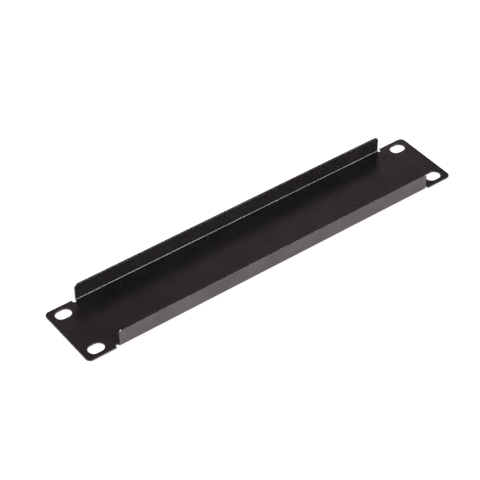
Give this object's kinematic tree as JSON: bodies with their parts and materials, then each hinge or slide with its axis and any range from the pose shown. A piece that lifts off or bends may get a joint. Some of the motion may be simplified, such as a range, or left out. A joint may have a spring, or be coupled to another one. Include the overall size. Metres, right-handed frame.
{
  "type": "rack blanking panel",
  "caption": "Half-width rack blanking panel: one folded steel sheet with slotted ears at its ends and a stiffening flange along each long side.",
  "frame": {"origin": "middle of the flat front face, which the panel lies on", "axes": "+X along the panel from ear to ear, +Y across it, +Z from the front face towards the flanges' free edges, which point into the rack in use"},
  "size_m": [0.254, 0.044, 0.0115],
  "materials": {
    "black_powder_coat": "black powder coat with a fine orange-peel texture, semi-gloss"
  },
  "bodies": {
    "root": {"blanking_panel": "black_powder_coat"}
  },
  "joints": []
}
